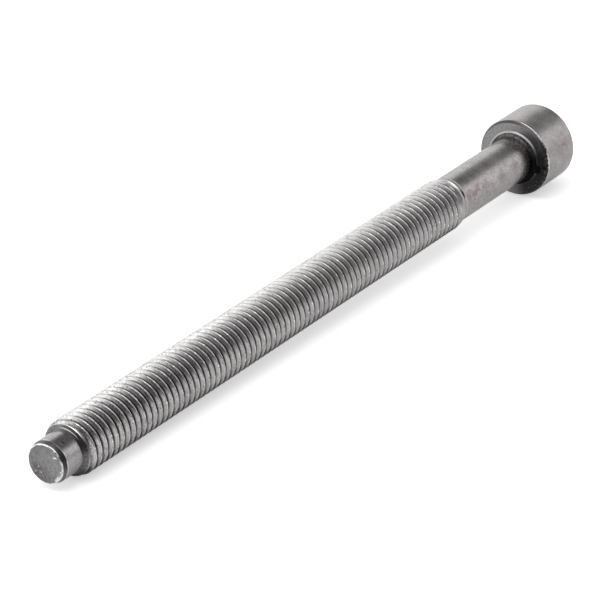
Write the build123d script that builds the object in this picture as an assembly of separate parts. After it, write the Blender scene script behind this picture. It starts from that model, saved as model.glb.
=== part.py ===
from build123d import *

import os
from math import asin, cos, degrees, radians, tan

# A long M12 cylinder head bolt, lying on its side as it comes to rest.
# It was forged, turned and rolled as one piece: a round head with a twelve-point socket, a plain shank turned
# down to about the thread's pitch diameter, a rolled thread and a dog point that leads it into its hole.
# Sizes are millimetres. The origin is the centre of the bearing face under the head. +X runs along the bolt
# to its tip and +Z is up from the surface that it lies on.

# The head and its edges
head_diameter = 18.0
head_height = 12.0
bearing_edge_length = 0.85
bearing_edge_depth = 0.6
top_edge_length = 0.3
top_edge_depth = 0.45

# The shank and the radius that blends it into the bearing face
length_under_head = 171.2
shank_diameter = 10.6
under_head_radius = 1.0

# The thread's outer form: its crests, where they start over the rolled blank, and how they die out
thread_diameter = 11.85
blank_diameter = 10.8
full_thread_length = 131.2
lead_in_length = 1.8
run_out_length = 3.6

# The dog point and the cone behind it
dog_diameter = 8.9
dog_length = 5.65
tip_diameter = 8.2
tip_chamfer_length = 1.33
dog_cone_angle = 45.0

# The twelve-point socket, three squares turned 30 degrees apart
socket_diameter = 12.0
socket_depth = 7.5
socket_mouth_diameter = 12.6
socket_mouth_angle = 60.0
socket_floor_angle = 20.0
square_count = 3

# Stations along the bolt, from the bearing face towards the tip
tip_chamfer_x = length_under_head - tip_chamfer_length
dog_x = length_under_head - dog_length
blank_x = dog_x - (blank_diameter - dog_diameter) / 2 / tan(radians(dog_cone_angle))
thread_start_x = blank_x - lead_in_length
thread_end_x = thread_start_x - full_thread_length
run_out_x = thread_end_x - run_out_length


def lie_angle() -> float:
    """Degrees that the bolt leans when its head's rim and its first full crest lie on one surface."""
    rise = (head_diameter - thread_diameter) / 2
    return degrees(asin(rise / (thread_start_x + bearing_edge_length)))


def turned_body() -> Part:
    """The bolt without its socket, turned about X from one half section."""
    head_radius = head_diameter / 2
    shank_radius = shank_diameter / 2
    along_bolt = Polyline(
        (-head_height, 0),
        (-head_height, head_radius - top_edge_depth),
        (top_edge_length - head_height, head_radius),
        (-bearing_edge_length, head_radius),
        (0, head_radius - bearing_edge_depth),
        (0, shank_radius + under_head_radius),
    )
    fillet_centre = (under_head_radius, shank_radius + under_head_radius)
    blend = CenterArc(fillet_centre, under_head_radius, 180, 90)
    to_tip = Polyline(
        (under_head_radius, shank_radius),
        (run_out_x, shank_radius),
        (thread_end_x, thread_diameter / 2),
        (thread_start_x, thread_diameter / 2),
        (blank_x, blank_diameter / 2),
        (dog_x, dog_diameter / 2),
        (tip_chamfer_x, dog_diameter / 2),
        (length_under_head, tip_diameter / 2),
        (length_under_head, 0),
        (-head_height, 0),
    )
    half_section = make_face(along_bolt + blend + to_tip)
    return revolve(half_section, Axis.X)


def drive_socket() -> Part:
    """What the socket takes out of the head: three square prisms, a conical floor and a conical mouth."""
    corner_radius = socket_diameter / 2
    side = corner_radius * 2 * cos(radians(45))
    valley_radius = side / 2 / cos(radians(45 - 90 / square_count / 2))
    floor_x = socket_depth - head_height
    cavity = Part()
    for turn in range(square_count):
        square = Rot(0, 0, turn * 90 / square_count) * Rectangle(side, side)
        cavity += extrude(Plane.YZ.offset(-head_height) * square, socket_depth)
    floor_height = valley_radius * tan(radians(socket_floor_angle))
    floor = Polyline((floor_x, 0), (floor_x, valley_radius), (floor_x + floor_height, 0), (floor_x, 0))
    mouth_radius = socket_mouth_diameter / 2
    mouth_depth = mouth_radius / tan(radians(socket_mouth_angle))
    mouth = Polyline(
        (-head_height, 0),
        (-head_height, mouth_radius),
        (mouth_depth - head_height, 0),
        (-head_height, 0),
    )
    for outline in (floor, mouth):
        cavity += revolve(make_face(outline), Axis.X)
    return cavity


def head_bolt() -> Part:
    """The finished bolt, leaning as it lies."""
    return Rot(0, lie_angle(), 0) * (turned_body() - drive_socket())


os.makedirs("parts", exist_ok=True)
export_step(head_bolt(), "parts/head_bolt.step")
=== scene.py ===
"""The looks of a long M12 cylinder head bolt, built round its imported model.

The bolt lies on a pale studio floor with its dog point towards the viewer. Its turned forms, its rolled
thread and its twelve-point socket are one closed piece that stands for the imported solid. The bolt is made
in millimetres and scaled to the row's metres as it is laid down, and its studio is in metres. In both the
origin is the centre of the bearing face, +X runs along the bolt to its tip and +Z is up. Places on the
bolt are given by how far they are along it, how far from its axis, and how far round it from +Y towards
+Z.
"""

import logging
import math
from collections.abc import Callable, Iterator, Sequence
from contextlib import contextmanager
from dataclasses import dataclass
from enum import Enum

import bmesh
import bpy
import numpy as np
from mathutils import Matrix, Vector


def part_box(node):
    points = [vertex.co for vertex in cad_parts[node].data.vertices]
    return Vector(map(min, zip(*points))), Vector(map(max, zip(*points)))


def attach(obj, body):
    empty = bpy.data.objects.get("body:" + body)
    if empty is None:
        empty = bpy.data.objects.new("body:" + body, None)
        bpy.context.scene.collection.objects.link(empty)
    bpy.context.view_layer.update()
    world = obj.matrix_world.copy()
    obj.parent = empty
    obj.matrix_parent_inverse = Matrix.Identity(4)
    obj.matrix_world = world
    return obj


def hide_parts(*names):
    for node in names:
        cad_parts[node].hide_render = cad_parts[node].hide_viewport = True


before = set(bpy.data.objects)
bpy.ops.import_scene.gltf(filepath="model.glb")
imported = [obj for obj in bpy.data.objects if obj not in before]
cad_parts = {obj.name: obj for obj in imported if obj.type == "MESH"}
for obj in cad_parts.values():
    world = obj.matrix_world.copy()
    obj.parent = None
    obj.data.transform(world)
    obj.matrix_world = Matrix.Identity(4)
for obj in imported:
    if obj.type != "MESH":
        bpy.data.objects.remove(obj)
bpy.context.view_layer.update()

log = logging.getLogger("head_bolt")

MM = 0.001
NODE = "head_bolt"
TURN = 2 * math.pi
SMOOTH_ANGLE = math.radians(38)
# Faces round the bolt, the same on every form, so that their rings meet.
COLUMNS = 96
# Places and angles that are nearer to each other than this are the same.
WELD = 0.0005
SAME_ANGLE = 0.001
# Further than anything on the bolt.
FAR = 1000.0


@dataclass(frozen=True)
class Corner:
    """One corner of a turned outline.

    Attributes:
        along: How far it is from the bearing face towards the tip.
        radius: How far it is from the bolt's axis.
        rounding: Radius of its rounding, none where it is 0.
        steps: Straight steps that make up the rounding.
    """

    along: float
    radius: float
    rounding: float = 0.0
    steps: int = 3

    def place(self) -> Vector:
        """Where the corner is in the plane that the outline is drawn in."""
        return Vector((self.along, self.radius, 0.0))


def choose(piece: bpy.types.Object) -> None:
    """Makes one piece the active one, with nothing else selected.

    Args:
        piece: The object.
    """
    bpy.ops.object.select_all(action="DESELECT")
    piece.select_set(True)
    bpy.context.view_layer.objects.active = piece


@contextmanager
def editing(piece: bpy.types.Object) -> Iterator[None]:
    """Opens one piece in edit mode with all of it selected, and closes it again.

    Args:
        piece: The mesh object to edit.

    Returns:
        A context with the piece active and in edit mode.
    """
    choose(piece)
    bpy.ops.object.mode_set(mode="EDIT")
    bpy.ops.mesh.select_all(action="SELECT")
    yield
    bpy.ops.object.mode_set(mode="OBJECT")


def pick(piece: bpy.types.Object, wanted: Callable[[Vector], bool]) -> None:
    """Selects the vertices of a piece in edit mode by their place, with the edges and faces between them.

    Args:
        piece: The mesh object that is in edit mode.
        wanted: Says of a vertex's place whether it is selected.
    """
    bpy.ops.mesh.select_mode(type="VERT")
    bpy.ops.mesh.select_all(action="DESELECT")
    mesh = bmesh.from_edit_mesh(piece.data)
    for vertex in mesh.verts:
        vertex.select = wanted(vertex.co)
    mesh.select_flush_mode()
    bmesh.update_edit_mesh(piece.data)


def weld(piece: bpy.types.Object) -> None:
    """Merges the doubled vertices of a piece and turns its faces outwards.

    Args:
        piece: The mesh object to close.
    """
    with editing(piece):
        bpy.ops.mesh.remove_doubles(threshold=WELD)
        bpy.ops.mesh.normals_make_consistent(inside=False)


def extrude(distance: float) -> None:
    """Extrudes what is selected along the bolt."""
    bpy.ops.mesh.extrude_region_move(TRANSFORM_OT_translate={"value": (distance, 0, 0)})


def flatten(along: float) -> None:
    """Moves what is selected onto a plane across the bolt."""
    bpy.ops.transform.resize(value=(0, 1, 1), center_override=(along, 0, 0))


def widen(scale: float) -> None:
    """Scales what is selected away from the bolt's axis."""
    bpy.ops.transform.resize(value=(1, scale, scale), center_override=(0, 0, 0))


def finish_modifier(piece: bpy.types.Object, name: str) -> None:
    """Applies one modifier of a piece, given by its name."""
    choose(piece)
    bpy.ops.object.modifier_apply(modifier=name)


class Value:
    """A shader socket that takes part in Python arithmetic."""

    def __init__(self, recipe: "Recipe", socket: bpy.types.NodeSocket) -> None:
        """Wraps an output socket of a recipe's node."""
        self.recipe = recipe
        self.socket = socket

    def __add__(self, other: "Value | float") -> "Value":
        """Adds."""
        return self.recipe.math("ADD", self, other)

    def __sub__(self, other: "Value | float") -> "Value":
        """Subtracts."""
        return self.recipe.math("SUBTRACT", self, other)

    def __rsub__(self, other: float) -> "Value":
        """Subtracts from a number."""
        return self.recipe.math("SUBTRACT", other, self)

    def __mul__(self, other: "Value | float") -> "Value":
        """Multiplies."""
        return self.recipe.math("MULTIPLY", self, other)

    __radd__ = __add__
    __rmul__ = __mul__

    def ramp(self, low: float, high: float) -> "Value":
        """Runs smoothly from 0 at one value to 1 at another."""
        inputs = {"Value": self, "From Min": low, "From Max": high}
        return self.recipe.node("ShaderNodeMapRange", {"interpolation_type": "SMOOTHSTEP"}, inputs, "Result")

    def rise(self, middle: float, soft: float) -> "Value":
        """Runs smoothly from 0 to 1 within a distance to both sides of a value."""
        return self.ramp(middle - soft, middle + soft)


Input = Value | float | tuple[float, ...]


class Recipe:
    """The node tree of one material or of the world, and the ways to add to it."""

    def __init__(self, tree: bpy.types.NodeTree) -> None:
        """Empties the tree and starts from it."""
        self.tree = tree
        tree.nodes.clear()

    def node(
        self, kind: str, settings: dict[str, object], inputs: dict[str | int, Input], out: str | int = 0
    ) -> Value | None:
        """Adds one node.

        Args:
            kind: The node's type.
            settings: Its settings, set before its sockets.
            inputs: The values or links of its sockets.
            out: The output that is wanted.

        Returns:
            That output, wrapped, or nothing if the node has none.
        """
        added = self.tree.nodes.new(kind)
        for name, setting in settings.items():
            setattr(added, name, setting)
        for name, wanted in inputs.items():
            if isinstance(wanted, Value):
                self.tree.links.new(wanted.socket, added.inputs[name])
            else:
                added.inputs[name].default_value = wanted
        return Value(self, added.outputs[out]) if added.outputs else None

    def math(self, operation: str, first: Input, second: Input) -> Value:
        """Adds a Math node with its operation and its two values."""
        return self.node("ShaderNodeMath", {"operation": operation}, {0: first, 1: second})

    def vector(self, operation: str, first: Input, second: Input, out: str = "Vector") -> Value:
        """Adds a Vector Math node with its operation and its two vectors."""
        return self.node("ShaderNodeVectorMath", {"operation": operation}, {0: first, 1: second}, out)

    def dot(self, first: Input, second: Input) -> Value:
        """How far one vector reaches along another."""
        return self.vector("DOT_PRODUCT", first, second, "Value")

    def length(self, vector: Input) -> Value:
        """How long a vector is."""
        return self.vector("LENGTH", vector, (0.0, 0.0, 0.0), "Value")

    def joined(self, first: Value, second: Value) -> Value:
        """A vector that two values span."""
        return self.node("ShaderNodeCombineXYZ", {}, {"X": first, "Y": second})

    def noise(self, place: Value, grain: float = 1.0, detail: float = 2.0) -> Value:
        """Noise from 0 to 1, with features one grain wide and some finer layers."""
        inputs = {"Vector": place, "Scale": 1 / grain, "Detail": detail}
        return self.node("ShaderNodeTexNoise", {}, inputs, "Fac")

    def mix(self, share: Input, first: Input, second: Input) -> Value:
        """Mixes two colours, the first one where the share is 0 and the second one where it is 1."""
        inputs = {"Factor": share, 6: first, 7: second}
        return self.node("ShaderNodeMix", {"data_type": "RGBA"}, inputs, 2)


class Measure(Enum):
    """What a band on the bolt is measured by."""

    ALONG = "along the bolt from its bearing face"
    RADIUS = "from the bolt's axis"
    UNDER = "how far down the surface faces, from -1 to 1"


class Survey:
    """Where a point of the surface lies on the bolt, in millimetres, for its materials."""

    def __init__(self, recipe: Recipe, lean: float) -> None:
        """Turns the object's coordinates into the bolt's own.

        Args:
            recipe: The recipe to add to.
            lean: How far the bolt leans as it lies, in radians.
        """
        self.recipe = recipe
        place = recipe.node("ShaderNodeTexCoord", {}, {}, "Object")
        upright = {"Vector": place, "Scale": (1 / MM, 1 / MM, 1 / MM), "Rotation": (0.0, -lean, 0.0)}
        self.place = recipe.node("ShaderNodeMapping", {}, upright)
        radius = recipe.length(recipe.vector("MULTIPLY", self.place, (0.0, 1.0, 1.0)))
        self.measures = {
            Measure.ALONG: recipe.dot(self.place, (1.0, 0.0, 0.0)),
            Measure.RADIUS: radius,
            Measure.UNDER: recipe.math("DIVIDE", recipe.dot(self.place, (0.0, 0.0, -1.0)), radius),
        }

    def noise(self, grain: float, detail: float = 2.0, shift: float = 0.0) -> Value:
        """Noise that is the same in all directions, moved some grains so that two of them differ."""
        moved = self.recipe.vector("ADD", self.place, (shift * grain, 0.0, 0.0))
        return self.recipe.noise(moved, grain, detail)

    def tooling(self, grain: float) -> Value:
        """Noise that runs round the bolt, as a turning tool leaves it."""
        ringed = self.recipe.joined(self.measures[Measure.ALONG], self.measures[Measure.RADIUS])
        return self.recipe.noise(ringed, grain)


@dataclass(frozen=True)
class Band:
    """The part of the surface between two values of one measure.

    Attributes:
        measure: What is measured.
        low: Where the band starts.
        high: Where it ends.
        soft: Half the width of its soft edges.
    """

    measure: Measure
    low: float
    high: float
    soft: float = 0.03

    def share(self, survey: Survey) -> Value:
        """How much of the band there is at a point of the survey, from 0 to 1."""
        value = survey.measures[self.measure]
        return value.rise(self.low, self.soft) * (1 - value.rise(self.high, self.soft))


@dataclass(frozen=True)
class Spot:
    """A round or long spot on the surface.

    Attributes:
        along: How far along the bolt its middle is.
        radius: How far from the axis its middle is.
        turn: How far round the bolt its middle is, in degrees.
        length: Half its length along the bolt.
        width: Half its width across the bolt.
        soft: How soft its edge is, as a share of its size.
    """

    along: float
    radius: float
    turn: float
    length: float
    width: float
    soft: float = 0.4

    def share(self, survey: Survey) -> Value:
        """How much of the spot there is at a point.

        Args:
            survey: Where the point lies.

        Returns:
            1 inside and 0 outside.
        """
        side = math.radians(self.turn)
        middle = (self.along, self.radius * math.cos(side), self.radius * math.sin(side))
        away = survey.recipe.vector("SUBTRACT", survey.place, middle)
        scaled = survey.recipe.vector("DIVIDE", away, (self.length, self.width, self.width))
        return 1 - survey.recipe.length(scaled).rise(1, self.soft)


@dataclass(frozen=True)
class Speckle:
    """Scattered patches all over the surface.

    Attributes:
        grain: Size of the patches.
        low: The noise that starts a patch.
        high: The noise that fills it.
        shift: Moves the pattern, in grains.
    """

    grain: float
    low: float = 0.45
    high: float = 0.6
    shift: float = 0.0

    def share(self, survey: Survey) -> Value:
        """How much of a patch there is at a point of the survey, from 0 to 1."""
        return survey.noise(self.grain, 3.0, self.shift).ramp(self.low, self.high)


@dataclass(frozen=True)
class Scratches:
    """Fine scratches that run one way across an end face.

    Attributes:
        angle: The way they run, in degrees from +Y towards +Z.
        width: Width of a scratch.
        length: Length of a scratch.
        low: The noise that starts a scratch.
        high: The noise that fills it.
    """

    angle: float
    width: float
    length: float
    low: float = 0.5
    high: float = 0.64

    def share(self, survey: Survey) -> Value:
        """How much of a scratch there is at a point.

        Args:
            survey: Where the point lies.

        Returns:
            1 inside and 0 outside.
        """
        side = math.radians(self.angle)
        recipe = survey.recipe
        along = recipe.dot(survey.place, (0.0, math.cos(side), math.sin(side)))
        across = recipe.dot(survey.place, (0.0, -math.sin(side), math.cos(side)))
        drawn = recipe.joined(along * (1 / self.length), across * (1 / self.width))
        return recipe.noise(drawn).ramp(self.low, self.high)


@dataclass(frozen=True)
class Mark:
    """Something on the steel that changes its look: dirt, a stain, wear, a nick, or light and shade painted
    into its colour.

    Attributes:
        areas: The areas whose overlap it covers.
        level: How much light it returns.
        warm: How far its grey leans to red.
        roughness: How matt it is.
        cover: How much of the steel it hides.
        depth: How deep it is pressed in.
    """

    areas: tuple[Band | Spot | Speckle | Scratches, ...]
    level: float
    warm: float = 0.02
    roughness: float = 0.35
    cover: float = 1.0
    depth: float = 0.0

    def share(self, survey: Survey) -> Value:
        """How much the mark hides at a point.

        Args:
            survey: Where the point lies.

        Returns:
            The share, from 0 to 1.
        """
        share: Value | float = self.cover
        for area in self.areas:
            share = area.share(survey) * share
        return share


def grey(level: float, warm: float = 0.0) -> tuple[float, float, float, float]:
    """A nearly grey colour of a linear level, which leans to red by a share of it."""
    cool = level * (1 - warm / 3)
    return (level * (1 + warm * 2 / 3), cool, cool, 1.0)


@dataclass(frozen=True)
class SteelFinish:
    """A steel surface with what time has left on it, and with some light and shade painted into its colour.

    Attributes:
        name: Name of the material.
        level: How much light it returns face on.
        marks: What is on it, from the lowest layer to the top one.
        warm: How far its grey leans to red.
        roughness: How matt it is.
        grain: Size of its mottling.
        uneven: How strongly its level varies.
        bump: Depth of its grain.
        tooled: Depth of the marks that run round it.
        tool_width: Width of those marks.
        patch_grains: Size of the larger patches in it, in grains.
        mottle_share: How much of its unevenness is mottling, and not patches.
        thresholds: The noise at which it is darkest, and at which it is brightest.
        rough_range: How much its roughness varies with the patches.
    """

    name: str
    level: float
    marks: tuple[Mark, ...] = ()
    warm: float = 0.02
    roughness: float = 0.24
    grain: float = 0.45
    uneven: float = 0.22
    bump: float = 0.004
    tooled: float = 0.0
    tool_width: float = 0.12
    patch_grains: float = 9.0
    mottle_share: float = 0.55
    thresholds: tuple[float, float] = (0.3, 0.7)
    rough_range: float = 0.1

    def material(self, lean: float) -> bpy.types.Material:
        """Mixes the material.

        Args:
            lean: How far the bolt leans as it lies, in radians.

        Returns:
            The finished material.
        """
        made = bpy.data.materials.new(self.name)
        made.use_nodes = True
        recipe = Recipe(made.node_tree)
        survey = Survey(recipe, lean)
        mottle = survey.noise(self.grain, 4.0)
        patches = survey.noise(self.grain * self.patch_grains)
        share = (self.mottle_share * mottle + (1 - self.mottle_share) * patches).ramp(*self.thresholds)
        low = grey(self.level * (1 - self.uneven), self.warm)
        high = grey(self.level * (1 + self.uneven), self.warm)
        colour = recipe.mix(share, low, high)
        rough = self.roughness + self.rough_range * (patches - 0.5)
        height = survey.noise(self.grain / 2, 4.0, 7.0) * self.bump
        if self.tooled:
            height = height + survey.tooling(self.tool_width) * self.tooled
        for mark in self.marks:
            share = mark.share(survey)
            colour = recipe.mix(share, colour, grey(mark.level, mark.warm))
            rough = rough + share * (mark.roughness - rough)
            if mark.depth:
                height = height - share * mark.depth
        raised = {"Distance": MM, "Height": height, "Strength": 1.0}
        normal = recipe.node("ShaderNodeBump", {}, raised, "Normal")
        inputs = {"Metallic": 1.0, "Base Color": colour, "Roughness": rough, "Normal": normal}
        shader = recipe.node("ShaderNodeBsdfPrincipled", {}, inputs, "BSDF")
        recipe.node("ShaderNodeOutputMaterial", {}, {"Surface": shader})
        return made


def draw_outline(name: str, corners: Sequence[Corner]) -> bpy.types.Object:
    """Draws an open outline by extruding one vertex from corner to corner.

    Args:
        name: Name of the new object.
        corners: The outline's corners, in order.

    Returns:
        An object whose mesh is the outline's edges.
    """
    bpy.ops.mesh.primitive_plane_add(size=1)
    line = bpy.context.object
    line.name = name
    with editing(line):
        bpy.ops.mesh.merge(type="CENTER")
        bpy.ops.transform.translate(value=corners[0].place())
        for last, corner in zip(corners, corners[1:]):
            step = corner.place() - last.place()
            bpy.ops.mesh.extrude_vertices_move(TRANSFORM_OT_translate={"value": step})
        for last, corner, following in zip(corners, corners[1:], corners[2:]):
            if corner.rounding:
                round_off(line, last, corner, following)
    return line


def round_off(line: bpy.types.Object, last: Corner, corner: Corner, following: Corner) -> None:
    """Rounds one corner of an outline that is open in edit mode.

    Args:
        line: The outline.
        last: The corner before.
        corner: The corner to round.
        following: The corner after.
    """
    place = corner.place()
    half_turn = (place - last.place()).angle(following.place() - place) / 2
    circle = 1 - 0.5 / (1 + math.cos(half_turn))
    pick(line, lambda co: (co - place).length < WELD)
    bpy.ops.mesh.bevel(
        offset=corner.rounding * math.tan(half_turn),
        segments=corner.steps,
        profile=circle * circle,
        affect="VERTICES",
    )


def turn_outline(name: str, corners: Sequence[Corner]) -> bpy.types.Object:
    """Turns an outline into a round form.

    Args:
        name: Name of the new object.
        corners: The outline's corners, in order.

    Returns:
        The turned mesh object.
    """
    form = draw_outline(name, corners)
    with editing(form):
        bpy.ops.mesh.spin(steps=COLUMNS, angle=TURN, center=(0, 0, 0), axis=(1, 0, 0))
    weld(form)
    return form


@dataclass(frozen=True)
class DogPoint:
    """The plain point that leads the bolt into its hole, with the cone behind it.

    Attributes:
        tip_x: Where the tip face is.
        face_diameter: Diameter of the flat tip face.
        diameter: Diameter of the plain point.
        chamfer_length: Length of the chamfer round the tip face.
        length: Length of the point, with its chamfer.
        cone_angle: Angle of the cone behind it to the axis, in degrees.
        rim_rounding: Radius of the worn rim round the tip face.
        edge_rounding: Radius of the edge between chamfer and point.
        neck_rounding: Radius of the corner between point and cone.
    """

    tip_x: float = 171.2
    face_diameter: float = 8.2
    diameter: float = 8.9
    chamfer_length: float = 1.33
    length: float = 5.65
    cone_angle: float = 45.0
    rim_rounding: float = 0.3
    edge_rounding: float = 0.5
    neck_rounding: float = 0.1

    def cone_radius(self, along: float) -> float:
        """Radius of the cone at a place along the bolt."""
        behind = self.tip_x - self.length - along
        return self.diameter / 2 + behind * math.tan(math.radians(self.cone_angle))

    def cone_place(self, radius: float) -> float:
        """Where along the bolt the cone has a radius."""
        rise = radius - self.diameter / 2
        return self.tip_x - self.length - rise / math.tan(math.radians(self.cone_angle))

    def build(self, end_x: float) -> bpy.types.Object:
        """Turns the point up to the first ring of the thread.

        Args:
            end_x: Where on the cone the thread's mesh starts.

        Returns:
            The turned point, open where the thread starts.
        """
        corners = [
            Corner(self.tip_x, 0),
            Corner(self.tip_x, self.face_diameter / 2, self.rim_rounding, steps=5),
            Corner(self.tip_x - self.chamfer_length, self.diameter / 2, self.edge_rounding),
            Corner(self.tip_x - self.length, self.diameter / 2, self.neck_rounding),
            Corner(end_x, self.cone_radius(end_x)),
        ]
        return turn_outline("dog_point", corners)

    def cone_grime_and_highlight(self, edge: float) -> tuple[Mark, ...]:
        """What covers the cone up to its far edge, for both finishes that meet on it: grime, and a painted
        highlight in a thin ring on its upper side.
        """
        cone = Band(Measure.ALONG, edge, self.tip_x - self.length)
        line = Band(Measure.RADIUS, 4.8, 4.95)
        return (
            Mark((cone,), 0.11, roughness=0.4, cover=0.85),
            Mark((cone, Spot(edge, 5, 50, 3, 3.4, 0.35)), 0.05, roughness=0.45, cover=0.95),
            Mark((cone, Speckle(0.4, 0.5, 0.64, 4.0)), 0.02, roughness=0.5, cover=0.7),
            # Painted highlight: a bright thin ring on the cone's upper side.
            Mark((cone, line, Spot(edge, 5, 74, 3, 2)), 0.5, roughness=0.3, cover=0.8),
        )

    def finish(self, edge: float) -> SteelFinish:
        """Bright steel with a sawn face, dark chamfers and worn edges, up to the cone's far edge."""
        tip = self.tip_x
        rim = tip - 0.26
        chamfer = tip - self.chamfer_length
        face = Band(Measure.ALONG, tip - 0.025, FAR, 0.01)
        around = Band(Measure.RADIUS, self.face_diameter / 2 - 0.2, FAR)
        below = Band(Measure.ALONG, chamfer + 0.12, rim)
        smudge = Spot(tip, 2.6, -112, 1, 1.9, 0.5)
        marks = [
            Mark((face,), 0.2, roughness=0.3),
            Mark((face, Spot(tip, 2.4, 10, 1, 2.6, 0.9)), 0.26, roughness=0.28),
            Mark((face, Scratches(-48, 0.22, 2.2)), 0.11, roughness=0.4, cover=0.55),
            Mark((face, Speckle(0.55, 0.46, 0.62, 6.0)), 0.11, roughness=0.4, cover=0.5),
            Mark((face, smudge, Scratches(-55, 0.4, 2.6, 0.44, 0.54)), 0.09, roughness=0.45, cover=0.8),
            Mark((face, Scratches(-30, 0.14, 1.2, 0.62, 0.7)), 0.42, cover=0.6),
            Mark((face, Spot(tip, 2.6, -131, 0.5, 1.5, 0.6), Speckle(0.6)), 0.09, warm=0.16, roughness=0.5),
            Mark((Band(Measure.ALONG, rim, tip - 0.02, 0.03),), 0.5, roughness=0.22),
            Mark((Band(Measure.ALONG, rim, FAR), around, Speckle(0.8, 0.46, 0.54, 2.0)), 0.75),
            Mark((below,), 0.15, roughness=0.4),
            Mark((Band(Measure.ALONG, chamfer - 0.12, chamfer + 0.12),), 0.6, roughness=0.2),
            Mark((Spot(tip - 2.87, 4.45, 62, 0.4, 0.4),), 0.06, roughness=0.5, depth=0.05),
            Mark((below, Spot(tip - 1, 4.3, 30, 1.2, 2.6)), 0.05, roughness=0.45, cover=0.9),
            *self.cone_grime_and_highlight(edge),
            Mark((Speckle(0.28, 0.66, 0.74, 5.0),), 0.05, roughness=0.5, cover=0.7, depth=0.02),
        ]
        for radius, turn in ((3.1, -139), (2.3, -117), (1.9, -150)):
            marks.append(Mark((face, Spot(tip, radius, turn, 0.3, 0.16, 0.6)), 0.5, depth=0.02))
        for radius, turn in ((2.9, 42), (3.12, 40), (3.3, 37)):
            marks.append(Mark((face, Spot(tip, radius, turn, 0.3, 0.15)), 0.8, depth=0.05))
        for turn, wide in ((-48, 0.36), (-37, 0.42), (-25, 0.34), (-12, 0.26)):
            marks.append(Mark((Spot(tip, 3.78, turn, 0.3, wide, 0.3), Speckle(0.5, 0.3, 0.5)), 0.7))
        return SteelFinish("turned_point", 0.32, tuple(marks), warm=0.035, tooled=0.002)


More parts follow.
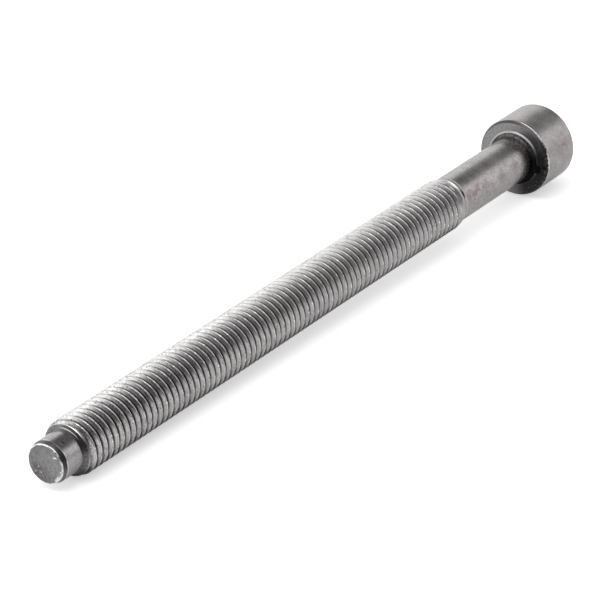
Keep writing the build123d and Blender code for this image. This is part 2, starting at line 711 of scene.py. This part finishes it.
@dataclass(frozen=True)
class RolledThread:
    """A right-hand M12 x 1.75 thread, rolled from a blank of about its pitch diameter.

    Attributes:
        pitch: Advance of one turn.
        diameter: Diameter over the crests.
        blank_radius: Radius of the rolled blank, where the crests start to rise behind the cone.
        edge_length: Half the length that the worn edge between cone and blank takes.
        ring_gap: Spacing of the extra rings of its mesh at both ends.
        first_x: Where its mesh starts, low on the cone.
        full_x: Where the crests reach their full height.
        cut_x: Where the roots start to sink into the blank.
        deep_x: Where they reach their full depth.
        fading_x: Where the crests start to die out towards the shank.
        shallow_x: Where the roots start to rise towards the shank.
        filled_x: Where the roots have risen to the last ring.
        filled_radius: Radius of that ring there.
        foot_x: Where the last ring ends.
        foot_radius: Radius of the last ring there.
        step: Length of the step down from the last ring.
        sink_length: Length in which the roots sink in front of the last ring.
        trace_x: Where the low trace that the dies left past the last ring is highest.
        trace_radius: Radius of the trace there.
        end_x: Where the last trace ends.
        last_x: Where its mesh ends.
        last_radius: Radius of the end of its mesh.
        lopsided: How much nearer to the head it all ends on one side.
        far_turn: The side where it does, in degrees round the bolt.
        crest_width: Width of a crest.
        crest_rounding: Radius of a crest's two corners.
        crest_x: Where a crest crosses the half plane through +Y.
    """

    pitch: float = 1.75
    diameter: float = 11.85
    blank_radius: float = 5.43
    edge_length: float = 0.08
    ring_gap: float = 0.17
    first_x: float = 165.2
    full_x: float = 163.4
    cut_x: float = 164.2
    deep_x: float = 162.9
    fading_x: float = 31.2
    shallow_x: float = 33.6
    filled_x: float = 30.8
    filled_radius: float = 5.8
    foot_x: float = 29.95
    foot_radius: float = 5.64
    step: float = 0.12
    sink_length: float = 0.36
    trace_x: float = 29.35
    trace_radius: float = 5.5
    end_x: float = 28.8
    last_x: float = 28.0
    last_radius: float = 5.32
    lopsided: float = 0.8
    far_turn: float = 75.0
    crest_width: float = 0.26
    crest_rounding: float = 0.15
    crest_x: float = 163.06

    def root_rounding(self) -> float:
        """Radius of the rolled root."""
        return self.pitch * math.sqrt(3) / 12

    def sharp_radius(self) -> float:
        """Radius of the sharp V that the root's rounding fills."""
        return self.diameter / 2 - (self.pitch - self.crest_width) / 2 * math.sqrt(3)

    def deep_radius(self) -> float:
        """Radius of the root's bottom, where the flanks stand at 30 degrees to it."""
        return self.sharp_radius() + self.root_rounding()

    def edge_x(self, point: DogPoint) -> float:
        """Where the point's cone ends at the rolled blank."""
        return point.cone_place(self.blank_radius)

    def corners(self, start: float) -> list[Corner]:
        """The outline of one turn, from the middle of one crest to the middle of the next.

        Args:
            start: Where the first crest's middle is.

        Returns:
            The outline's corners, with a sharp V that its rounding turns into the rolled root.
        """
        crest = self.diameter / 2
        half_flat = self.crest_width / 2
        return [
            Corner(start, crest),
            Corner(start + half_flat, crest, self.crest_rounding, steps=2),
            Corner(start + self.pitch / 2, self.sharp_radius(), self.root_rounding(), steps=4),
            Corner(start + self.pitch - half_flat, crest, self.crest_rounding, steps=2),
            Corner(start + self.pitch, crest),
        ]

    def build(self, point: DogPoint) -> bpy.types.Object:
        """Winds the thread, cuts it off at the point's cone and lets it die out towards the shank.

        Args:
            point: The dog point whose cone it starts on.

        Returns:
            The thread as an open tube whose ends are plain rings.
        """
        below = math.ceil((self.crest_x - self.last_x) / self.pitch) + 1
        above = math.ceil((self.first_x - self.crest_x) / self.pitch) + 1
        thread = draw_outline("thread", self.corners(self.crest_x - below * self.pitch))
        screw = thread.modifiers.new("turns", "SCREW")
        screw.axis = "X"
        screw.angle = TURN
        screw.screw_offset = self.pitch
        screw.iterations = below + above
        screw.steps = COLUMNS
        screw.render_steps = COLUMNS
        finish_modifier(thread, "turns")
        self.trim(thread)
        self.cut_rings(thread)
        self.limit(thread, point)
        weld(thread)
        return thread

    def trim(self, thread: bpy.types.Object) -> None:
        """Flattens what the winding leaves past each end of the thread onto the end's plane."""
        for end, side in ((self.first_x, 1), (self.last_x, -1)):
            with editing(thread):
                pick(thread, lambda co: (co.x - end) * side > 0)
                flatten(end)

    def cut_rings(self, thread: bpy.types.Object) -> None:
        """Cuts extra rings into both ends of the trimmed thread, where its form changes."""
        with editing(thread):
            for start, end in ((self.last_x, self.fading_x), (self.full_x, self.first_x)):
                count = round((end - start) / self.ring_gap)
                for ring in range(1, count):
                    bpy.ops.mesh.select_all(action="SELECT")
                    place = (start + (end - start) * ring / count, 0, 0)
                    bpy.ops.mesh.bisect(plane_co=place, plane_no=(1, 0, 0), threshold=WELD)

    def limit(self, thread: bpy.types.Object, point: DogPoint) -> None:
        """Keeps crests and roots within what the rolling dies reached at both ends.

        Args:
            thread: The trimmed thread.
            point: The dog point whose cone it starts on.
        """
        mesh = thread.data
        points = np.empty(len(mesh.vertices) * 3)
        mesh.vertices.foreach_get("co", points)
        points = points.reshape(-1, 3)
        along = points[:, 0]
        radius = np.hypot(points[:, 1], points[:, 2])
        side = np.arctan2(points[:, 2], points[:, 1]) - math.radians(self.far_turn)
        nearer = self.lopsided * (1 + np.cos(side)) / 2
        near_head = along < self.deep_x / 2
        along = np.where(near_head, along + nearer, along)
        crest = self.diameter / 2
        deep = self.deep_radius()
        edge = self.edge_x(point)
        foot = (
            (self.end_x, self.last_radius),
            (self.trace_x, self.trace_radius),
            (self.foot_x, self.trace_radius - self.step / 2),
            (self.foot_x + self.step, self.foot_radius),
        )
        tops = (
            *foot,
            (self.fading_x, crest),
            (self.full_x, crest),
            (edge - self.edge_length, self.blank_radius),
            (edge + self.edge_length, point.cone_radius(edge + self.edge_length)),
            (self.first_x, point.cone_radius(self.first_x)),
        )
        bottoms = (
            *foot,
            (self.filled_x, self.filled_radius),
            (self.filled_x + self.sink_length, self.trace_radius),
            (self.shallow_x + self.lopsided, deep),
            (self.deep_x, deep),
            (self.cut_x, self.blank_radius),
        )
        highest = np.interp(along, *zip(*tops))
        lowest = np.interp(along, *zip(*bottoms))
        wanted = np.minimum(np.maximum(radius, lowest), highest)
        points[:, 1:] *= (wanted / radius)[:, None]
        mesh.vertices.foreach_set("co", points.ravel())

    def finish(self, point: DogPoint) -> SteelFinish:
        """Rolled steel with darker roots, bright crests, painted glints and painted shade and highlight, up
        to the cone of its dog point.
        """
        crest = self.diameter / 2
        edge = self.edge_x(point)
        last = self.foot_x - self.lopsided
        rim = Band(Measure.RADIUS, crest - 0.05, FAR, 0.06)
        root = Band(Measure.RADIUS, 0, self.blank_radius - 0.06, 0.05)
        rolled = Band(Measure.ALONG, self.filled_x, self.full_x, 0.6)
        far = Band(Measure.ALONG, -FAR, 95, 60)
        starting = Band(Measure.ALONG, self.full_x, self.cut_x, 0.08)
        ring = Band(Measure.ALONG, self.cut_x, edge + 0.06)
        low = Band(Measure.UNDER, 0.4, FAR, 0.2)
        top = Band(Measure.UNDER, -1.4, -0.6, 0.2)
        behind = Band(Measure.ALONG, self.filled_x, 65, 15)
        marks = [
            Mark((far,), 0.47, warm=0.035, roughness=0.42, cover=0.7),
            Mark((Speckle(0.5, 0.55, 0.7),), 0.24, roughness=0.4, cover=0.4),
            # Darker in the roots, all along the rolled part.
            Mark((rolled, Band(Measure.RADIUS, 0, crest - 0.62, 0.2)), 0.018, roughness=0.5),
            Mark((starting, root, Spot(self.cut_x, 5.2, 58, 2, 2.6)), 0.03, roughness=0.5, cover=0.9),
            Mark((starting, Speckle(0.35, 0.52, 0.6, 1.0)), 0.1, roughness=0.5, cover=0.7),
            # Painted shade low between the upper crests towards the shank end.
            Mark((behind, top, Band(Measure.RADIUS, 0, crest - 0.25, 0.15)), 0.1, roughness=0.5, cover=0.3),
            Mark((rim,), 0.6, roughness=0.2),
            # Painted highlight on those upper crests.
            Mark((behind, top, rim), 0.95, roughness=0.4, cover=0.7),
            Mark((rim, Speckle(0.6, 0.52, 0.66, 4.0)), 0.3, roughness=0.35),
            Mark((rim, Speckle(1.6, 0.52, 0.6, 12.0)), 0.26, roughness=0.4, cover=0.7),
            # Painted glints: near-white patches on the crests.
            Mark((rim, Speckle(0.7, 0.6, 0.68, 9.0)), 0.95, roughness=0.15),
            Mark((Speckle(0.3, 0.61, 0.7, 3.0),), 0.04, roughness=0.5, cover=0.9, depth=0.03),
            # Painted glints: tiny near-white specks all over the thread.
            Mark((Speckle(0.2, 0.7, 0.76, 8.0),), 0.9, roughness=0.2, cover=0.6),
            *point.cone_grime_and_highlight(edge),
            Mark((ring,), 0.36, roughness=0.25),
            # Painted highlight on the upper side of the ring at the cone's edge.
            Mark((ring, Spot(edge, 5.3, 82, 2, 4, 0.3)), 0.75, roughness=0.2),
            # Painted shade dimming that ring's highlight on its near side.
            Mark((ring, Spot(edge, 5.4, 24, 2, 2.2, 0.5)), 0.12, roughness=0.35, cover=0.8),
            # Painted shade at the foot of the last ring, where it steps down to the shank.
            Mark((Spot(last - 0.05, 5.45, 36, 0.45, 1.1, 0.35),), 0.012, roughness=0.45),
            Mark((Spot(last + 0.25, 5.45, 2, 0.3, 3, 0.5),), 0.08, roughness=0.45, cover=0.6),
            # Painted glint on the upper side of the last crest.
            Mark((Spot(last + 0.65, 5.75, 67, 0.5, 1.5),), 0.95, roughness=0.14),
            # Painted shade on the lower side of the thread.
            Mark((Band(Measure.UNDER, 0.54, FAR, 0.14),), 0.06, roughness=0.5, cover=0.8),
            # Painted shade, nearly black, in the roots of the lower side.
            Mark((rolled, low, Band(Measure.RADIUS, 0, crest - 0.3, 0.15)), 0.006, roughness=0.5),
        ]
        return SteelFinish(
            "rolled_thread", 0.46, tuple(marks), warm=0.035, roughness=0.25, uneven=0.24, bump=0.008
        )


@dataclass(frozen=True)
class Shank:
    """The plain reduced shank, with the radius and the small raised lip that join it to the bearing face.

    Attributes:
        radius: Radius of the shank.
        step: Length of the small step down from the thread's last ring.
        step_rounding: Radius at the foot of that step.
        fillet: Radius of the blend under the head.
        lip_radius: Radius of the lip's outer edge.
        lip_height: How far the lip stands out from the bearing face.
        lip_rounding: Radius of the lip's edges.
        land: Width of the bearing face that is turned with it.
    """

    radius: float = 5.3
    step: float = 0.15
    step_rounding: float = 0.08
    fillet: float = 0.9
    lip_radius: float = 6.42
    lip_height: float = 0.09
    lip_rounding: float = 0.1
    land: float = 0.2

    def face_radius(self) -> float:
        """Radius of the ring on the bearing face where the head takes over."""
        return self.lip_radius + self.lip_height + self.land

    def build(self, thread: RolledThread) -> bpy.types.Object:
        """Turns the shank from the thread's last ring to the bearing face.

        Args:
            thread: The thread that it meets.

        Returns:
            The turned shank, open at both ends.
        """
        corners = [
            Corner(thread.last_x, thread.last_radius),
            Corner(thread.last_x - self.step, self.radius, self.step_rounding, steps=2),
            Corner(self.lip_height, self.radius, self.fillet, steps=8),
            Corner(self.lip_height, self.lip_radius, self.lip_rounding),
            Corner(0, self.lip_radius + self.lip_height, self.lip_rounding),
            Corner(0, self.face_radius()),
        ]
        return turn_outline("shank", corners)

    def grease_and_shade(self) -> tuple[Spot, Speckle]:
        """Where the lower side of the bearing face is darkened: black grease, and painted shade where the
        face mirrors the shadowed floor.
        """
        return (Spot(0, 8.4, -24, 2, 7.4, 0.3), Speckle(0.7, 0.1, 0.4, 2.0))

    def finish(self) -> SteelFinish:
        """Turned steel with a radius darkened by painted shade and grease, a bright lip with a painted light
        patch, and faint rust.
        """
        blend = self.fillet + self.lip_height
        outer = self.radius + self.fillet
        lip = Band(Measure.RADIUS, outer - 0.04, FAR)
        stain = Spot(25, self.radius, 24, 3.4, 1.6, 0.8)
        streak = Spot(12, self.radius, 26, 14, 1.3, 0.8)
        end = Band(Measure.ALONG, -FAR, blend + 1.6, 0.8)
        wear_and_sheen = Spot(0, self.lip_radius, 55, 2, 3.6, 0.5)
        marks = (
            Mark((stain, Speckle(1.4, 0.42, 0.6)), 0.17, warm=0.44, roughness=0.4, cover=0.66),
            Mark((streak, Speckle(1.9, 0.44, 0.66)), 0.18, warm=0.42, roughness=0.4, cover=0.45),
            Mark((Speckle(0.6, 0.46, 0.62, 6.0),), 0.2, warm=0.06, roughness=0.36, cover=0.34),
            # Painted shade darkening the shank and its radius in the corner under the head.
            Mark((Band(Measure.ALONG, -FAR, blend + 0.4, 1),), 0.12, roughness=0.4, cover=0.7),
            Mark((Band(Measure.ALONG, -FAR, blend, 0.35),), 0.055, roughness=0.45, cover=0.93),
            # Painted light on the upper side of that darkened radius.
            Mark((end, Spot(0.5, 5.8, 88, 2, 3.6, 0.6)), 0.13, roughness=0.5, cover=0.7),
            Mark((Speckle(0.5, 0.46, 0.6), end), 0.035, roughness=0.45, cover=0.85),
            # Painted shade, nearly black, on the radius's lower side.
            Mark((Spot(0.4, 5.6, -30, 1.7, 5, 0.25),), 0.006, roughness=0.4),
            Mark((lip,), 0.5, roughness=0.24),
            Mark((Band(Measure.RADIUS, outer + 0.16, self.face_radius()),), 0.27, roughness=0.3),
            # Painted light: a brighter, matt patch on the lip's upper side.
            Mark((lip, wear_and_sheen), 0.75, roughness=0.5),
            # Grease and painted shade on the lip's lower side.
            Mark((lip, *self.grease_and_shade()), 0.02, roughness=0.4, cover=0.93),
            Mark((lip, Spot(0, 6.1, -11, 1, 1.1, 0.3)), 0.006, roughness=0.5),
        )
        return SteelFinish("turned_shank", 0.335, marks, warm=0.06, grain=0.3, uneven=0.26, tooled=0.0015)


@dataclass(frozen=True)
class DriveSocket:
    """A twelve-point socket: three squares, each turned 30 degrees from the last.

    Attributes:
        corner_radius: Radius of the twelve corners.
        mouth_radius: Radius of the lead-in cone at the head's end face.
        mouth_angle: Angle of the cone's wall to the axis, in degrees.
        depth: Depth to the edge of the floor.
        floor_angle: Angle of the drilled floor's cone to the end face, in degrees.
        points: How many corners there are.
    """

    corner_radius: float = 6.0
    mouth_radius: float = 6.3
    mouth_angle: float = 60.0
    depth: float = 7.5
    floor_angle: float = 20.0
    points: int = 12

    def wall_radius(self, from_valley: float) -> float:
        """Radius of the wall at an angle from the nearest valley between two corners, in radians."""
        flat = self.corner_radius * math.cos(math.pi / 4)
        from_flat = math.pi / 4 - math.pi / self.points + from_valley
        return flat / math.cos(from_flat)

    def build(self, end_x: float) -> bpy.types.Object:
        """Sinks the socket from a ring round its mouth.

        Args:
            end_x: Where the head's end face is.

        Returns:
            The socket's wall and floor, open at the mouth.
        """
        floor_x = end_x + self.depth
        valley = self.wall_radius(0)
        bpy.ops.mesh.primitive_circle_add(vertices=COLUMNS, radius=self.mouth_radius)
        socket = bpy.context.object
        socket.name = "socket"
        with editing(socket):
            bpy.ops.transform.rotate(value=TURN / 4, orient_axis="Y", center_override=(0, 0, 0))
            bpy.ops.transform.translate(value=(end_x, 0, 0))
            extrude(self.depth / 2)
            for from_valley in self.kinds():
                wall = self.wall_radius(from_valley)
                self.pick_kind(socket, from_valley, end_x + self.depth / 4)
                widen(wall / self.mouth_radius)
                sunk = (self.mouth_radius - wall) / math.tan(math.radians(self.mouth_angle))
                bpy.ops.transform.translate(value=(sunk - self.depth / 2, 0, 0))
            pick(socket, lambda co: co.x > end_x + WELD)
            extrude(self.depth)
            flatten(floor_x)
            extrude(self.depth)
            for from_valley in self.kinds():
                self.pick_kind(socket, from_valley, floor_x + self.depth / 2)
                widen(valley / self.wall_radius(from_valley))
            pick(socket, lambda co: co.x > floor_x + self.depth / 2)
            flatten(floor_x)
            extrude(valley * math.tan(math.radians(self.floor_angle)))
            bpy.ops.mesh.merge(type="CENTER")
        weld(socket)
        return socket

    def kinds(self) -> list[float]:
        """The angles from the nearest valley that the columns have, in radians."""
        columns_a_side = COLUMNS // (2 * self.points)
        return [column * TURN / COLUMNS for column in range(columns_a_side + 1)]

    def pick_kind(self, socket: bpy.types.Object, from_valley: float, beyond_x: float) -> None:
        """Selects the vertices beyond a plane whose columns lie at one angle from a valley.

        Args:
            socket: The socket, open in edit mode.
            from_valley: The angle from the nearest valley, in radians.
            beyond_x: The plane that they lie beyond.
        """
        apart = TURN / self.points

        def wanted(place: Vector) -> bool:
            """Says whether a vertex is beyond the plane and at the angle."""
            angle = math.atan2(place.z, place.y) % apart
            return place.x > beyond_x and abs(min(angle, apart - angle) - from_valley) < SAME_ANGLE

        pick(socket, wanted)

    def finish(self) -> SteelFinish:
        """Dark forged steel with brighter worn patches."""
        wear_and_sheen = Mark((Speckle(1.2, 0.5, 0.65),), 0.3, roughness=0.3, cover=0.5)
        return SteelFinish("forged_socket", 0.16, (wear_and_sheen,), roughness=0.36, grain=0.6, bump=0.01)


@dataclass(frozen=True)
class Head:
    """The round head, with its bearing face, its side and the end face round the socket.

    Attributes:
        radius: Radius of the head.
        height: Height of the head.
        bearing_edge_length: Length of the chamfer round the bearing face.
        bearing_edge_depth: How far that chamfer reaches in.
        top_edge_length: Length of the chamfer round the end face.
        top_edge_depth: How far that chamfer reaches in.
        edge_rounding: Radius of the edges, worn smooth.
        socket: The socket in the end face.
    """

    radius: float = 9.0
    height: float = 12.0
    bearing_edge_length: float = 0.85
    bearing_edge_depth: float = 0.6
    top_edge_length: float = 0.3
    top_edge_depth: float = 0.45
    edge_rounding: float = 0.26
    socket: DriveSocket = DriveSocket()

    def build(self, shank: Shank) -> bpy.types.Object:
        """Turns the head from the shank's ring to the socket's mouth.

        Args:
            shank: The shank that it meets.

        Returns:
            The turned head, open at the shank and at the socket.
        """
        corners = [
            Corner(0, shank.face_radius()),
            Corner(0, self.radius - self.bearing_edge_depth, self.edge_rounding / 2),
            Corner(-self.bearing_edge_length, self.radius, self.edge_rounding),
            Corner(self.top_edge_length - self.height, self.radius, self.edge_rounding),
            Corner(-self.height, self.radius - self.top_edge_depth, self.edge_rounding / 2),
            Corner(-self.height, self.socket.mouth_radius),
        ]
        return turn_outline("head", corners)

    def finish(self, shank: Shank) -> SteelFinish:
        """Turned steel with a dark chamfer, a painted highlight along its bearing edge, faint rust and the
        shank's grease and painted shade.
        """
        edge = -self.bearing_edge_length
        front = Band(Measure.ALONG, edge, FAR)
        chamfer = Band(Measure.RADIUS, self.radius - self.bearing_edge_depth, FAR, 0.06)
        rim = Band(Measure.ALONG, edge - 0.06, edge + 0.14, 0.05)
        bright = Band(Measure.ALONG, edge - 0.1, edge + 0.26, 0.06)
        side = Spot(edge, self.radius, 24, 2, 4.6, 0.3)
        stain = Spot(-6.8, self.radius, 23, 2.6, 2.4, 0.8)
        marks = (
            Mark((stain, Speckle(1.8, 0.4, 0.64)), 0.18, warm=0.38, roughness=0.4, cover=0.5),
            Mark((Speckle(0.35, 0.5, 0.66, 6.0),), 0.2, warm=0.06, roughness=0.36, cover=0.3),
            Mark((Band(Measure.ALONG, -0.03, FAR),), 0.27, roughness=0.3),
            Mark((front, chamfer), 0.08, roughness=0.45),
            Mark((front, Speckle(0.4, 0.5, 0.62, 5.0)), 0.12, roughness=0.5, cover=0.5),
            # Grease and painted shade on the lower side of the bearing face.
            Mark((front, *shank.grease_and_shade()), 0.02, roughness=0.4, cover=0.95),
            Mark((front, *shank.grease_and_shade(), Speckle(0.5, 0.54, 0.66, 9.0)), 0.14, roughness=0.5, cover=0.6),
            # Painted highlight along the bearing edge.
            Mark((rim,), 0.44, roughness=0.24),
            # Worn edge, brightened into a painted highlight on its near side.
            Mark((bright, side, Speckle(0.7, 0.4, 0.52)), 0.8, roughness=0.5, cover=0.85),
            Mark((front, Spot(0, 8.18, -4, 1, 0.42)), 0.01),
            Mark((front, Spot(0, 6.3, -11, 1, 1.1, 0.3)), 0.008),
        )
        return SteelFinish("turned_head", 0.3, marks, warm=0.06, grain=0.3, uneven=0.26, tooled=0.0015)


@dataclass(frozen=True)
class HeadBolt:
    """The whole bolt.

    Attributes:
        point: Its dog point.
        thread: Its thread.
        shank: Its shank.
        head: Its head.
        rest_x: Where its first full crest rests on the floor.
    """

    point: DogPoint = DogPoint()
    thread: RolledThread = RolledThread()
    shank: Shank = Shank()
    head: Head = Head()
    rest_x: float = 162.8

    def lie_angle(self) -> float:
        """How far it leans with the head's rim and the first full crest on one surface, in radians."""
        rise = self.head.radius - self.thread.diameter / 2
        return math.asin(rise / (self.rest_x + self.head.bearing_edge_length))

    def forms(self) -> list[tuple[bpy.types.Object, SteelFinish]]:
        """Makes the bolt's forms, end to end, each with its finish."""
        edge = self.thread.edge_x(self.point)
        return [
            (self.point.build(self.thread.first_x), self.point.finish(edge)),
            (self.thread.build(self.point), self.thread.finish(self.point)),
            (self.shank.build(self.thread), self.shank.finish()),
            (self.head.build(self.shank), self.head.finish(self.shank)),
            (self.head.socket.build(-self.head.height), self.head.socket.finish()),
        ]

    def build(self) -> bpy.types.Object:
        """Makes the bolt's forms, joins them into one closed piece and lays it down in metres.

        Returns:
            The finished piece.
        """
        forms = self.forms()
        for form, finish in forms:
            form.data.materials.append(finish.material(self.lie_angle()))
            log.info("%s: %d faces", form.name, len(form.data.polygons))
        bolt = forms[0][0]
        choose(bolt)
        for form, _ in forms:
            form.select_set(True)
        bpy.ops.object.join()
        bolt.name = "cylinder_head_bolt"
        bolt.data.name = bolt.name
        weld(bolt)
        with editing(bolt):
            bpy.ops.transform.rotate(value=-self.lie_angle(), orient_axis="Y", center_override=(0, 0, 0))
        bolt.scale = (MM, MM, MM)
        bpy.ops.object.transform_apply(location=False, rotation=False, scale=True)
        bpy.ops.object.shade_smooth_by_angle(angle=SMOOTH_ANGLE)
        even = bolt.modifiers.new("even_normals", "WEIGHTED_NORMAL")
        even.keep_sharp = True
        finish_modifier(bolt, "even_normals")
        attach(bolt, "root")
        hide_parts(NODE)
        return bolt


@dataclass(frozen=True)
class SoftBox:
    """A soft box of the studio, far enough away to look the same from all of the bolt.

    Attributes:
        azimuth: Where its middle is, in degrees: 0 towards -Y, 90 towards +X.
        elevation: How high its middle is, in degrees.
        half_width: Half its width, in degrees.
        half_height: Half its height, in degrees.
        strength: How bright it is.
        sharpness: How steeply it fades at its edges.
    """

    azimuth: float
    elevation: float
    half_width: float
    half_height: float
    strength: float
    sharpness: float = 0.7

    def shine(self, recipe: Recipe, way: Value) -> Value:
        """Adds its light to a world.

        Args:
            recipe: The world's recipe.
            way: The direction that is looked in.

        Returns:
            How bright the box is in that direction.
        """
        front = Vector(aim(self.azimuth, self.elevation))
        across = Vector(aim(self.azimuth + 90, 0))
        upwards = across.cross(front)
        over = recipe.dot(way, tuple(across)) * (1 / sine(self.half_width))
        up = recipe.dot(way, tuple(upwards)) * (1 / sine(self.half_height))
        ahead = recipe.dot(way, tuple(front)).rise(0.1, 0.1)
        outside = (over * over) * (over * over) + (up * up) * (up * up)
        return recipe.math("EXPONENT", outside * -self.sharpness, 0.0) * ahead * self.strength


@dataclass(frozen=True)
class PaperWall:
    """White paper that stands round the studio.

    Attributes:
        azimuth: Where its middle is, in degrees.
        half_width: How far round it reaches to each side, in degrees.
        top: How high it reaches, in degrees.
        softness: How softly its top ends, in degrees.
        strength: How bright it is.
        side_softness: How softly its sides end, as a share of its distance.
    """

    azimuth: float
    half_width: float
    top: float
    softness: float
    strength: float
    side_softness: float = 0.12

    def shine(self, recipe: Recipe, way: Value) -> Value:
        """Adds its light to a world.

        Args:
            recipe: The world's recipe.
            way: The direction that is looked in.

        Returns:
            How bright the paper is in that direction.
        """
        height = recipe.dot(way, (0.0, 0.0, 1.0))
        facing = recipe.dot(way, aim(self.azimuth, 0))
        edge = math.cos(math.radians(self.half_width))
        below = height.ramp(sine(self.top + self.softness), sine(self.top - self.softness))
        return below * facing.rise(edge, self.side_softness) * self.strength


def sine(angle: float) -> float:
    """The sine of an angle in degrees."""
    return math.sin(math.radians(angle))


def aim(azimuth: float, elevation: float) -> tuple[float, float, float]:
    """The direction of an azimuth and an elevation, both in degrees."""
    side, rise = math.radians(azimuth), math.radians(elevation)
    return (math.sin(side) * math.cos(rise), -math.cos(side) * math.cos(rise), math.sin(rise))


@dataclass(frozen=True)
class Studio:
    """The pale floor, the soft light round it and the camera.

    Attributes:
        floor_size: Side of the floor.
        floor_colour: How much light the floor returns.
        seen_fill: What lifts the floor to white where the camera sees it.
        mirrored_fill: What lifts it where the steel mirrors it.
        ambient: Light from every side.
        lights: The white paper and the soft boxes round the bolt.
        key_direction: Azimuth and elevation of the key lamp, in degrees.
        key_distance: Distance of the key lamp.
        key_size: Side of the key lamp.
        key_power: Power of the key lamp, in watts.
        camera_azimuth: Where the camera stands, in degrees.
        camera_elevation: How far above the floor it looks from, in degrees.
        camera_distance: Its distance from what it looks at.
        camera_target: What it looks at.
        camera_lens: Its focal length, in millimetres, on a 36 mm sensor.
    """

    floor_size: float = 6.0
    floor_colour: float = 0.9
    seen_fill: float = 0.5
    mirrored_fill: float = 0.14
    ambient: float = 0.062
    lights: tuple[PaperWall | SoftBox, ...] = (
        PaperWall(-40, 100, 33, 5, 1.06),
        PaperWall(115, 70, 3, 3, 0.64),
        SoftBox(42, 14, 28, 22, 1.2),
        SoftBox(5, 44, 42, 11, 0.72),
        SoftBox(-95, 50, 35, 20, 0.16),
        SoftBox(-131, 24, 12, 15, 0.32),
        SoftBox(103, 70, 34, 17, 2.4),
    )
    key_direction: tuple[float, float] = (100.0, 75.0)
    key_distance: float = 0.6
    key_size: float = 0.3
    key_power: float = 0.5
    camera_azimuth: float = 124.119
    camera_elevation: float = 25.02
    camera_distance: float = 675.658 * MM
    camera_target: tuple[float, float, float] = (86.388 * MM, 0.265 * MM, -1.923 * MM)
    camera_lens: float = 196.11

    def build(self) -> None:
        """Sets up the floor, the light and the camera."""
        self.lay_floor()
        self.light()
        self.place_camera()

    def lay_floor(self) -> None:
        """Lays the pale floor that the bolt rests on."""
        bpy.ops.mesh.primitive_plane_add(size=self.floor_size, location=(0, 0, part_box(NODE)[0].z))
        floor = bpy.context.object
        floor.name = "floor"
        made = bpy.data.materials.new("pale_floor")
        made.use_nodes = True
        recipe = Recipe(made.node_tree)
        lit = recipe.node("ShaderNodeBsdfDiffuse", {}, {"Color": grey(self.floor_colour)}, "BSDF")
        seen = recipe.node("ShaderNodeLightPath", {}, {}, "Is Camera Ray")
        mirrored = recipe.node("ShaderNodeLightPath", {}, {}, "Is Glossy Ray")
        fill = seen * self.seen_fill + mirrored * self.mirrored_fill
        glow = recipe.node("ShaderNodeEmission", {}, {"Strength": fill}, "Emission")
        both = recipe.node("ShaderNodeAddShader", {}, {0: lit, 1: glow})
        recipe.node("ShaderNodeOutputMaterial", {}, {"Surface": both})
        floor.data.materials.append(made)

    def light(self) -> None:
        """Hangs the key lamp and fills the world with the studio's soft light."""
        place = Vector(aim(*self.key_direction)) * self.key_distance
        aimed = (-place).to_track_quat("-Z", "Y").to_euler()
        bpy.ops.object.light_add(type="AREA", location=place + Vector(self.camera_target), rotation=aimed)
        lamp = bpy.context.object
        lamp.name = "key_lamp"
        lamp.data.size = self.key_size
        lamp.data.energy = self.key_power
        world = bpy.data.worlds.new("studio")
        bpy.context.scene.world = world
        world.use_nodes = True
        recipe = Recipe(world.node_tree)
        way = recipe.node("ShaderNodeTexCoord", {}, {}, "Generated")
        level: Value | float = self.ambient
        for light in self.lights:
            level = light.shine(recipe, way) + level
        seen = recipe.node("ShaderNodeLightPath", {}, {}, "Is Camera Ray")
        level = level * (1 - seen) + seen
        shade = recipe.node("ShaderNodeBackground", {}, {"Color": grey(1.0), "Strength": level})
        recipe.node("ShaderNodeOutputWorld", {}, {"Surface": shade})

    def place_camera(self) -> None:
        """Places the camera where the photographer's stood."""
        way = Vector(aim(self.camera_azimuth, self.camera_elevation))
        place = Vector(self.camera_target) + way * self.camera_distance
        turned = (math.radians(90 - self.camera_elevation), 0, math.radians(self.camera_azimuth))
        bpy.ops.object.camera_add(location=place, rotation=turned)
        camera = bpy.context.object
        camera.data.lens = self.camera_lens
        bpy.context.scene.camera = camera
        bpy.context.scene.view_settings.view_transform = "Standard"


def main() -> None:
    """Builds the bolt and its studio."""
    bolt = HeadBolt().build()
    log.info("%s: %d faces", bolt.name, len(bolt.data.polygons))
    Studio().build()


if __name__ == "__main__":
    logging.basicConfig(level=logging.INFO, format="%(message)s")
    main()
